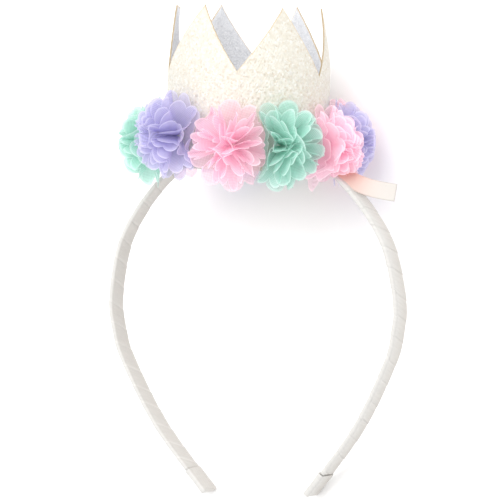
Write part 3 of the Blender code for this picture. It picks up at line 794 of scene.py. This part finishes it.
def build_felt():
    """The base: a round of felt bent over the arch, just inside the wall."""
    radius = CROWN_RADIUS - CROWN_WALL - FELT_CLEARANCE
    turn = np.arange(FELT_COLUMNS) * 2 * np.pi / FELT_COLUMNS
    rng = np.random.default_rng(8)
    layers = []
    for lift in (FELT_LIFT, FELT_LIFT + FELT_THICKNESS):
        for ring in range(FELT_RINGS + 1):
            reach = radius * ring / FELT_RINGS
            x, y = reach * np.cos(turn), reach * np.sin(turn)
            height = np.zeros(FELT_COLUMNS)
            for _ in range(FELT_ROUNDS):
                spots = moved(side_by_side(x, y, height), CROWN)
                slope = LINE.slope_over(spots[:, 0])
                wanted = LINE.height_over(spots[:, 0]) + lift * np.hypot(1.0, slope)
                height = height + (wanted - spots[:, 2]) / math.cos(LEAN)
            matting = rng.normal(0, FELT_MATTING, FELT_COLUMNS)
            if ring == 0:
                matting[:] = 0.0      # the middle of a face is one point
            layers.append(side_by_side(x, y, height + matting))
    points = np.array(layers[:FELT_RINGS + 1] + layers[:FELT_RINGS:-1])
    made = make_mesh("felt_round", moved(moved(points.reshape(-1, 3), CROWN), WORN),
                     grid_faces(len(points), FELT_COLUMNS), "base_felt", FELT)
    close(made)
    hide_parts("felt_base")


# Flowers

def disc_rim(turn):
    """Radius of a scalloped disc by angle round it."""
    centre = DISC_RADIUS - LOBE_RADIUS
    step = 2 * np.pi / LOBES
    off = (turn + step / 2) % step - step / 2
    lobe = np.sqrt(np.maximum(LOBE_RADIUS ** 2 - (centre * np.sin(off)) ** 2, 0.0))
    return centre * np.cos(off) + lobe


# Half outline of a pocket from the flower's middle outward: share of the way,
# and share of its half width with a round tip and with a pointed one
POCKET_OUTLINE = ((0.00, 0.14, 0.18), (0.34, 0.60, 0.56), (0.70, 1.00, 0.46),
                  (0.93, 0.66, 0.12), (1.00, 0.00, 0.00))
POCKET_ROWS = ([(along, -full, -thin) for along, full, thin in POCKET_OUTLINE]
               + list(POCKET_OUTLINE[-2::-1]))
TIP_ROW = len(POCKET_OUTLINE) - 1
# Least and most swell of the pockets' widths, and how often the range between
# them is halved to find the one at which the curve is as long as the cloth
LEAST_SWELL = 0.3
MOST_SWELL = 1.3
HALVINGS = 16
SPLINE_STEPS = 24
FLATTEST = 1.52               # most angle from the flower's middle line, radians
OUTLINE_WANDER = 0.03


class Disc:
    """A disc folded into pockets: a cone over a closed curve of directions.

    A pocket is (azimuth, inner, outer, width, roundness): angles from the
    flower's middle line, in radians, and how round its tip is, from 0 to 1.
    """

    thin = 0.28               # how much of it is seen through

    def __init__(self, pockets, rng):
        self.pockets = pockets
        self.wander = rng.normal(0.0, OUTLINE_WANDER, (len(pockets), len(POCKET_ROWS), 2))

    def curve(self, swell):
        """The curve for one swell of the pockets' widths."""
        points = []
        for (azimuth, inner, outer, width, rounded), wander in zip(self.pockets, self.wander):
            out = np.array((math.cos(azimuth), math.sin(azimuth)))
            side = np.array((-out[1], out[0]))
            for row, (along, full, thin) in enumerate(POCKET_ROWS):
                across = full * rounded + thin * (1 - rounded)
                reach = inner + (outer - inner) * along + wander[row, 0]
                off = across * width * swell + wander[row, 1]
                points.append(out * reach + side * off)
        points = np.array(points)
        ring = np.vstack((points[-1:], points, points[:2]))
        plane = catmull(ring, SPLINE_STEPS)[SPLINE_STEPS:-SPLINE_STEPS - 1]
        reach = np.linalg.norm(plane, axis=1)
        return direction(np.arctan2(plane[:, 1], plane[:, 0]),
                         np.pi / 2 - np.minimum(reach, FLATTEST))

    def solved(self, shape, count):
        """Directions at even steps along the curve that is as long as a flat
        disc's, and the place of its first tip on the flat disc, in radians."""
        low, high = LEAST_SWELL, MOST_SWELL
        for _ in range(HALVINGS):
            swell = (low + high) / 2
            curve = shape(self.curve(swell))
            closed = np.vstack((curve, curve[:1]))
            run = run_of(closed)
            low, high = (swell, high) if run[-1] < 2 * np.pi else (low, swell)
        at = np.arange(count) / count * run[-1]
        tip = run[TIP_ROW * SPLINE_STEPS] / run[-1] * 2 * np.pi
        return unit(side_by_side(*(np.interp(at, run, axis) for axis in closed.T))), tip


class FlowerPlace:
    """One flower's place on the wall, and what it is squeezed against."""

    def __init__(self, index):
        self.angle, self.turn, self.colour, self.folds, rise = FLOWERS[index][:5]
        self.rise = rise * MM
        self.right_border = FLOWERS[index][5:]
        self.left_border = FLOWERS[index - 1][5:]
        before = FLOWERS[index - 1][0]
        after = FLOWERS[(index + 1) % len(FLOWERS)][0]
        self.left = math.radians(((self.angle - before) % 360.0) / 2)
        self.right = math.radians(((after - self.angle) % 360.0) / 2)
        turn = math.radians(self.angle)
        across = np.array((math.cos(turn), math.sin(turn), 0.0))
        off = np.array((math.sin(turn), -math.cos(turn), 0.0))
        self.matrix = CROWN @ matrix((across, UP, off),
                                     off * CROWN_RADIUS + UP * (FLOWER_HEIGHT + self.rise))
        crossing = math.copysign(90.0, math.sin(turn))
        from_band = abs((self.angle - crossing + 180.0) % 360.0 - 180.0)
        self.on_band = from_band < math.degrees(self.left)

    def border(self, points, lap, top_lap, low_lap, phase):
        """How far a soft border is pushed over to the next flower, in metres."""
        height, depth = points[..., 1] + self.rise, points[..., 2]
        long = np.sin(height / BORDER_LONG + phase)
        short = np.sin(height / BORDER_SHORT + depth / BORDER_SHIFT + 2.1 * phase)
        wave = BORDER_WAVE * (long + BORDER_SHORT_SHARE * short) / BORDER_PEAK
        ends = (top_lap * MM * np.clip((height - TOP_START) / TOP_SPREAD, 0.0, 1.0)
                + low_lap * MM * np.clip((-height - TOP_START) / TOP_SPREAD, 0.0, 1.0))
        return (wave + lap * MM) * np.clip(depth / BORDER_DEPTH, 0.0, 1.0) + ends

    def kept_in(self, points, softness):
        """Bring points of the flower's frame inside its neighbours' borders."""
        for way, angle, border in ((1.0, self.right, self.right_border),
                                   (-1.0, self.left, self.left_border)):
            normal = np.array((way * math.cos(angle), 0.0, -math.sin(angle)))
            limit = CROWN_RADIUS * math.sin(angle) - NEIGHBOUR_GAP
            room = limit + way * self.border(points, *border) - points @ normal
            push = pressed(room, softness) - room
            points = points - push[..., None] * normal
        return points

    def settle(self, points):
        """World points from the flower's frame, clear of what is round it."""
        wall = CROWN_RADIUS + WALL_GAP - np.hypot(points[..., 0], CROWN_RADIUS + points[..., 2])
        off = pressed(wall, WALL_SOFTNESS) * WALL_SHARE
        worn = moved(points + UP * off[..., None], self.matrix)
        if self.on_band:
            worn = self.over_band(worn)
        above = worn @ TABLE_UP - TABLE_LEVEL - TABLE_GAP
        lift = pressed(above, TABLE_SOFTNESS) - above
        return moved(worn + TABLE_UP * lift[..., None], WORN)

    def over_band(self, worn):
        """Lift what would cut into the band, or the label on it, above them."""
        x, y, z = np.moveaxis(worn, -1, 0)
        slope = LINE.slope_over(x)
        steep = np.hypot(1.0, slope)
        height = LINE.height_over(x) + BAND_GAP
        near = np.clip((BAND_WIDTH / 2 + BAND_REACH - np.abs(y)) / BAND_FADE, 0.0, 1.0)
        if self.angle < 180.0:      # the flower over the label, which swings back
            height = np.maximum(height + LABEL_SOLID, label_top(x)) + GAP
            past_root = np.clip((x - LABEL_ROOT) / BAND_FADE - 1.0, 0.0, 1.0)
            near = np.maximum(np.where(y > 0, 1.0, near), past_root)
        over = (z - height) / steep
        lift = (pressed(over, BAND_SOFTNESS) - over) * near
        return worn + side_by_side(-slope / steep * lift, 0.0, lift / steep)


# Points round a disc, rings from its middle to its rim, the middle's share of
# the radius that is left out, and how the rings close up towards the rim
TURNS = 208
RINGS = 13
MIDDLE_HOLE = 0.07
RING_POWER = 0.85
DISC_LIFT = 0.8 * MM
PETAL_SOFTNESS = 0.8 * MM
CURVE_SOFTNESS = 1.5 * MM
CURVE_LIFT = 0.6 * MM
CURVE_LIFT_SOFTNESS = 1.0 * MM
FLUTTER = 0.35 * MM
FLUTTER_WAVES = 30
CURL_END = 1.5                # angle from the middle line past which none curls
CURL_UNEVEN = 0.25
CURL_WAVES = 7
PALE_RIM = 0.4 * MM
CLOTH_SPACING = 0.05          # between the discs of a flower on the flat cloth

# How each colour's flowers are folded: least and most roundness of the petals'
# tips, how far the petals turn out, and the half width of their pockets
FOLDS = {"pink": ((0.0, 0.16), 0.08, 0.40), "mint": ((0.6, 1.0), 0.06, 0.44),
         "lilac": ((0.6, 1.0), 0.14, 0.36)}
# How far the turn, start and end of a pocket may be off, in radians
POCKET_UNEVEN = (0.05, 0.04, 0.08)
# Pockets of a wedge: turn in degrees, where they start and end, as angles from
# the flower's middle line in radians, and their share of the half width
POCKETS = {"N": ((-31.0, 0.17, 1.38, 1.00), (-2.0, 0.09, 0.82, 0.62), (27.0, 0.20, 1.12, 0.80)),
           "W": ((-19.0, 0.15, 1.40, 1.00), (17.0, 0.09, 1.00, 0.80))}


def flower_discs(place, rng):
    """The folded discs of one flower, each a wedge of two or three pockets."""
    (blunt, full), _, width = FOLDS[place.colour]
    turn_off, inner_off, outer_off = POCKET_UNEVEN

    def near(value, spread):
        return value + rng.uniform(-spread, spread)

    discs = []
    for wedge, kind in enumerate(place.folds):
        azimuth = math.radians(place.turn) + wedge * 2 * np.pi / len(place.folds)
        discs.append(Disc([(near(azimuth + math.radians(off), turn_off),
                            near(inner, inner_off), near(outer, outer_off), width * share,
                            near((blunt + full) / 2, (full - blunt) / 2))
                           for off, inner, outer, share in POCKETS[kind]], rng))
    return discs


class FlatDisc(Disc):
    """The last disc of a flower, spread out on the wall behind the others."""

    thin = 0.44
    points = 720
    off_wall, wave, least = 0.10, 0.04, 0.02      # angles off the wall, radians

    def __init__(self, turn, rng):
        self.turn = turn
        self.phases = rng.uniform(-0.1, 0.1, 3) * 30      # only two are used

    def curve(self, swell):
        """An even round a little off the wall, with more waves as it swells."""
        t = np.arange(self.points) * 2 * np.pi / self.points
        waves = np.sin(5 * t + self.phases[0]) + 0.5 * np.sin(3 * t + self.phases[1])
        angle = np.clip(self.off_wall + self.wave * swell * waves, self.least, 1.0)
        return direction(t + self.turn, angle)


def disc_points(place, disc, curl, rng):
    """One gathered disc by rings from its middle outward: its world points,
    their places on the flat disc, and how near its rim they are, 0 to 1."""
    tip_reach = DISC_RADIUS * (1.0 - MIDDLE_HOLE)

    def shape(curve):
        """Directions of the disc's curve once its neighbours have pressed it."""
        kept = place.kept_in(curve * tip_reach, CURVE_SOFTNESS)
        kept[:, 2] = pressed(kept[:, 2] - CURVE_LIFT, CURVE_LIFT_SOFTNESS) + CURVE_LIFT
        return unit(kept)

    curve, tip = disc.solved(shape, TURNS)
    turn = np.arange(TURNS) * 2 * np.pi / TURNS
    rim = disc_rim(turn - tip)
    share = np.linspace(0.0, 1.0, RINGS)[:, None] ** RING_POWER
    share = share * (1.0 - MIDDLE_HOLE) + MIDDLE_HOLE
    reach = share * rim
    down = unit(curve * curve[:, 2:] - UP)
    away = np.arccos(np.clip(curve[:, 2], -1.0, 1.0))
    uneven = 1 + CURL_UNEVEN * smooth_noise(rng, TURNS, CURL_WAVES)
    angle = curl * np.clip(CURL_END - away, 0.0, None) * uneven * (reach / DISC_RADIUS) ** 2
    rays = curve * np.cos(angle)[..., None] + down * np.sin(angle)[..., None]
    flutter = smooth_noise(rng, TURNS, FLUTTER_WAVES) * FLUTTER
    points = rays * reach[..., None] + down * (flutter * share ** 3)[..., None]
    points[..., 2] += DISC_LIFT
    points = place.kept_in(points, PETAL_SOFTNESS)
    flat = side_by_side(reach * np.cos(turn), reach * np.sin(turn))
    near_rim = np.clip(1.0 - (rim - reach) / PALE_RIM, 0.0, 1.0)
    return place.settle(points), flat, near_rim


def build_flower(index):
    """One flower of gathered discs of chiffon, sewn at their middle."""
    place = FlowerPlace(index)
    rng = np.random.default_rng(100 + index)
    discs = flower_discs(place, rng) + [FlatDisc(math.radians(place.turn), rng)]
    points, flat, rims = map(np.array, zip(*(
        disc_points(place, disc, FOLDS[place.colour][1], rng) for disc in discs)))
    number = np.arange(len(discs))[:, None, None]
    faces = grid_faces(RINGS, TURNS) + number * RINGS * TURNS
    name = f"flower_{index + 1:02d}_{place.colour}"
    made = make_mesh("petals_" + name, points.reshape(-1, 3), faces.reshape(-1, 4),
                     "chiffon_" + place.colour, CHIFFON[place.colour])
    add_attribute(made, "rim", rims)
    add_attribute(made, "thin", np.repeat([disc.thin for disc in discs], RINGS * TURNS))
    x, y = np.moveaxis(flat, -1, 0)
    add_cloth(made, x + CLOTH_SPACING * number, y + CLOTH_SPACING * number)
    x, y = x[:, -1], y[:, -1]
    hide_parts(name)


# Label

def label_line(steps):
    """Centres, directions across and normals along the label."""
    places, *angles = np.array(LABEL_LINE).T
    share = np.linspace(0.0, 1.0, steps)
    fall, swing, turn = (np.radians(np.interp(share, places, values)) for values in angles)
    rise = LINE.slope_over(np.array(LABEL_ROOT))
    lift = (GAP + LABEL_SOLID / 2) / math.hypot(1.0, rise)
    root = (LABEL_ROOT - rise * lift, 0.0, LINE.height_over(LABEL_ROOT) + lift)
    ways = direction((swing[1:] + swing[:-1]) / 2, -(fall[1:] + fall[:-1]) / 2)
    centres = np.cumsum(np.vstack((root, ways * LABEL_LENGTH / (steps - 1))), axis=0)
    ahead = direction(swing, -fall)
    level = side_by_side(-np.sin(swing), np.cos(swing), 0.0)
    wides = level * np.cos(turn)[:, None] + np.cross(ahead, level) * np.sin(turn)[:, None]
    return centres, wides, np.cross(ahead, wides)


LABEL_CENTRES, LABEL_WIDES, LABEL_NORMALS = label_line(LABEL_STEPS)


def label_top(x):
    """Height of the label's upper edge over places across the head, and far
    below everything where there is no label."""
    side = LABEL_CENTRES + LABEL_WIDES * LABEL_WIDTH / 2
    other = LABEL_CENTRES - LABEL_WIDES * LABEL_WIDTH / 2
    tops = np.where((side[:, 2] > other[:, 2])[:, None], side, other)
    height = tops[:, 2] + LABEL_SOLID / 2
    return np.interp(x, tops[:, 0], height, left=-1.0, right=-1.0)


def build_label():
    """The bare satin label, folded double, with painted pink light from the chiffon on its root.
    """
    across = np.linspace(-0.5, 0.5, LABEL_COLUMNS)
    share = np.linspace(0.0, 1.0, LABEL_STEPS)[:, None]
    middles = LABEL_CENTRES[:, None] + LABEL_WIDES[:, None] * (across * LABEL_WIDTH)[:, None]
    bow = LABEL_BOW * (across / 0.5) ** 2 * share
    rounding = np.sqrt(np.maximum(1 - (np.abs(across) / 0.5) ** LABEL_SQUARE, 0.0))
    half = LABEL_THICKNESS / 2 * (LABEL_EDGE + (1.0 - LABEL_EDGE) * rounding)
    top, low = (middles + LABEL_NORMALS[:, None] * lift[..., None]
                for lift in (bow + half, bow - half))
    rings = np.concatenate((top, low[:, ::-1]), axis=1)
    made = make_mesh("label_ribbon", moved(rings.reshape(-1, 3), WORN),
                     grid_faces(LABEL_STEPS, rings.shape[1]), "label_satin", LABEL_SATIN)
    # Painted pink light from the chiffon, strongest at the root
    fade = (PAINTED_LIGHT_EVEN * np.clip(1.0 - share / PAINTED_LIGHT_EVEN_RUN, 0.0, 1.0)
            + (1.0 - PAINTED_LIGHT_EVEN) * np.exp(-(share / PAINTED_LIGHT_ROOT_RUN) ** 2))
    from_back = 0.5 - np.concatenate((across, across[::-1]))
    add_attribute(made, "painted_chiffon_light", fade * (1.0 - PAINTED_LIGHT_FRONT_LOSS * from_back))
    add_cloth(made, share * LABEL_LENGTH, np.concatenate((across, -across)) * LABEL_WIDTH)
    close(made)
    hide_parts("label")


# Camera, lights and table

CAMERA_AZIMUTH_DEG = 29.90
CAMERA_DISTANCE = 1835.0 * MM
CAMERA_HEIGHT = 181.9 * MM
CAMERA_AIM_HEIGHT = 96.2 * MM
CAMERA_AIM_ACROSS = -1.78 * MM
CAMERA_ROLL_DEG = -1.16
FOCAL_PIXELS = 4684.0
IMAGE_PIXELS = 500.0
SENSOR_WIDTH = 36.0

SURROUND_STRENGTH = 1.08
TABLE_COLOUR = (0.96, 0.96, 0.96)
# Each lamp's name, place, side in metres, power in watts and colour
LAMPS = (("key", (0.04, 0.27, 1.1), 0.9, 8.2, (1.0, 0.99, 0.98)),
         ("fill", (-0.7, 0.0, 0.7), 0.7, 0.4, (0.98, 0.98, 1.0)))
LAMP_AIM = Vector((0.0, 0.0, 0.04))


def build_camera():
    """The photo's view: fitted as worn, then laid down with the headband."""
    azimuth = math.radians(CAMERA_AZIMUTH_DEG)
    centre = round_crown(CAMERA_AZIMUTH_DEG, CAMERA_DISTANCE, CAMERA_HEIGHT)
    aim = direction(azimuth, 0.0) * CAMERA_AIM_ACROSS + UP * CAMERA_AIM_HEIGHT
    ahead = unit(aim - centre)
    right = unit(np.cross(ahead, UP))
    up = np.cross(right, ahead)
    roll = math.radians(CAMERA_ROLL_DEG)
    right, up = (math.cos(roll) * right + math.sin(roll) * up,
                 -math.sin(roll) * right + math.cos(roll) * up)
    place = WORN @ matrix((right, up, -ahead), centre)
    data = bpy.data.cameras.new("camera")
    data.sensor_width = SENSOR_WIDTH
    data.lens = FOCAL_PIXELS / IMAGE_PIXELS * SENSOR_WIDTH
    data.clip_end = 20.0
    bpy.context.scene.camera = placed("camera", data)
    bpy.context.scene.camera.matrix_world = Matrix(place.tolist())


def build_light(name, place, size, watts, colour):
    """A soft square lamp that faces the headband."""
    data = bpy.data.lights.new(name, "AREA")
    data.size = size
    data.energy = watts
    data.color = colour
    made = placed(name, data)
    made.location = place
    made.rotation_euler = (LAMP_AIM - Vector(place)).to_track_quat("-Z", "Y").to_euler()


def build_studio():
    """Pale table, soft lamps and an even white surround."""
    scene = bpy.context.scene
    world = bpy.data.worlds.new("studio")
    world.use_nodes = True
    surround = world.node_tree.nodes["Background"].inputs
    surround["Color"].default_value = (*WHITE, 1.0)
    surround["Strength"].default_value = SURROUND_STRENGTH
    scene.world = world
    scene.view_settings.view_transform = "Standard"
    for lamp in LAMPS:
        build_light(*lamp)
    n = Nodes("table")
    mesh = bpy.data.meshes.new("table")
    mesh.from_pydata([(-4, -4, 0), (4, -4, 0), (4, 4, 0), (-4, 4, 0)], [], [(0, 1, 2, 3)])
    mesh.materials.append(n.finish(n.principled(Base_Color=TABLE_COLOUR, Roughness=0.8)))
    placed("table", mesh)


build_camera()
build_studio()
build_band()
build_sleeve("ribbon_fold_left", "ribbon_end_left", True)
build_sleeve("ribbon_fold_right", "ribbon_end_right", False)
build_crown()
build_felt()
for number in range(len(FLOWERS)):
    build_flower(number)
build_label()
